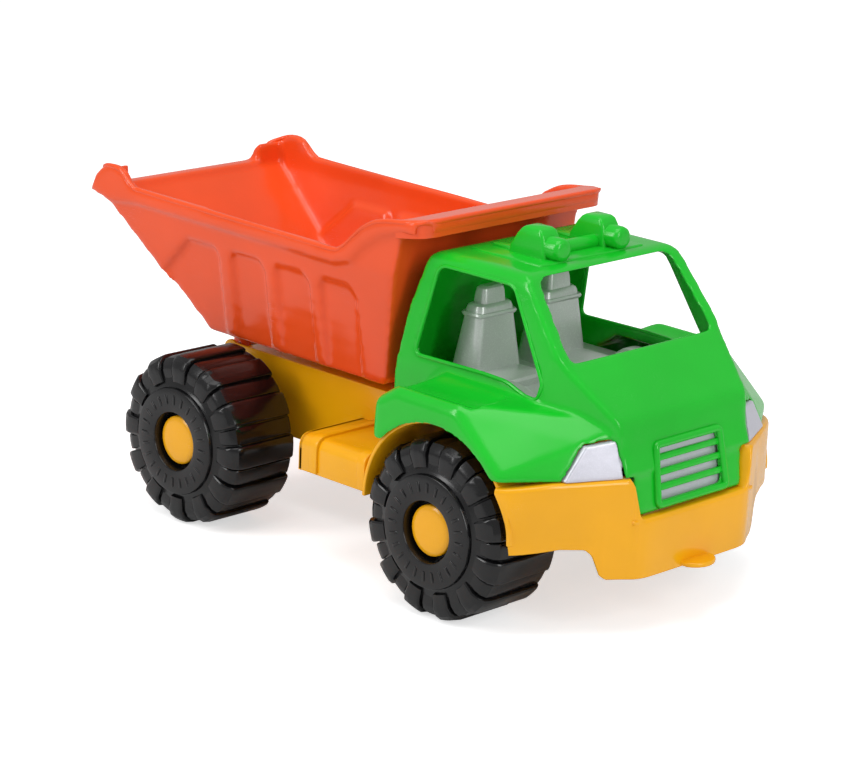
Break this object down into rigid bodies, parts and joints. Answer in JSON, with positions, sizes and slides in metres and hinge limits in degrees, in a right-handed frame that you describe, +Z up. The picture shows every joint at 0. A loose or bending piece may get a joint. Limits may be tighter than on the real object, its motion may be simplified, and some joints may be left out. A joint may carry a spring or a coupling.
{
  "type": "toy dump truck",
  "caption": "Sandpit toy dump truck: cab shell and bumper on a moulded chassis, a tub that tips back on a hinge rod, and chunky free-rolling wheels.",
  "frame": {"origin": "ground level under the middle of the truck's length, on its middle plane", "axes": "+X points forward, +Y to the truck's left, +Z up"},
  "size_m": [0.4736, 0.25, 0.2245],
  "materials": {
    "yellow_plastic": "glossy injection-moulded yellow polypropylene",
    "orange_plastic": "glossy injection-moulded orange polypropylene",
    "green_plastic": "glossy injection-moulded green polypropylene",
    "black_plastic": "black moulded plastic, matt face and semi-gloss tread",
    "silver_plastic": "pearl silver moulded plastic",
    "steel": "drawn wire rod",
    "screw_steel": "zinc plated"
  },
  "bodies": {
    "truck": {"chassis": "yellow_plastic", "cab_shell": "green_plastic", "seat_insert": "silver_plastic", "lamp_insert": "silver_plastic", "hinge_rod": "steel", "cab_screw_front_left": "screw_steel", "cab_screw_front_right": "screw_steel", "cab_screw_rear_left": "screw_steel", "cab_screw_rear_right": "screw_steel"},
    "tub": {"dump_tub": "orange_plastic"},
    "front_axle": {"axle_front": "steel", "hub_cap_front_left": "yellow_plastic", "hub_cap_front_right": "yellow_plastic"},
    "rear_axle": {"axle_rear": "steel", "hub_cap_rear_left": "yellow_plastic", "hub_cap_rear_right": "yellow_plastic"},
    "wheel_front_left": {"wheel_front_left": "black_plastic"},
    "wheel_front_right": {"wheel_front_right": "black_plastic"},
    "wheel_rear_left": {"wheel_rear_left": "black_plastic"},
    "wheel_rear_right": {"wheel_rear_right": "black_plastic"}
  },
  "joints": [
    {"name": "tub_tip", "type": "hinge", "parent": "truck", "child": "tub", "pos_m": [-0.12825, 0, 0.097], "axis": [0, -1, 0], "range_deg": [0, 50]},
    {"name": "front_axle_turn", "type": "hinge", "parent": "truck", "child": "front_axle", "pos_m": [0.12375, 0, 0.055], "axis": [0, 1, 0], "continuous": true},
    {"name": "rear_axle_turn", "type": "hinge", "parent": "truck", "child": "rear_axle", "pos_m": [-0.10025, 0, 0.055], "axis": [0, 1, 0], "continuous": true},
    {"name": "wheel_front_left_roll", "type": "hinge", "parent": "truck", "child": "wheel_front_left", "pos_m": [0.12375, 0.098, 0.055], "axis": [0, 1, 0], "continuous": true},
    {"name": "wheel_front_right_roll", "type": "hinge", "parent": "truck", "child": "wheel_front_right", "pos_m": [0.12375, -0.098, 0.055], "axis": [0, 1, 0], "continuous": true},
    {"name": "wheel_rear_left_roll", "type": "hinge", "parent": "truck", "child": "wheel_rear_left", "pos_m": [-0.10025, 0.098, 0.055], "axis": [0, 1, 0], "continuous": true},
    {"name": "wheel_rear_right_roll", "type": "hinge", "parent": "truck", "child": "wheel_rear_right", "pos_m": [-0.10025, -0.098, 0.055], "axis": [0, 1, 0], "continuous": true}
  ]
}
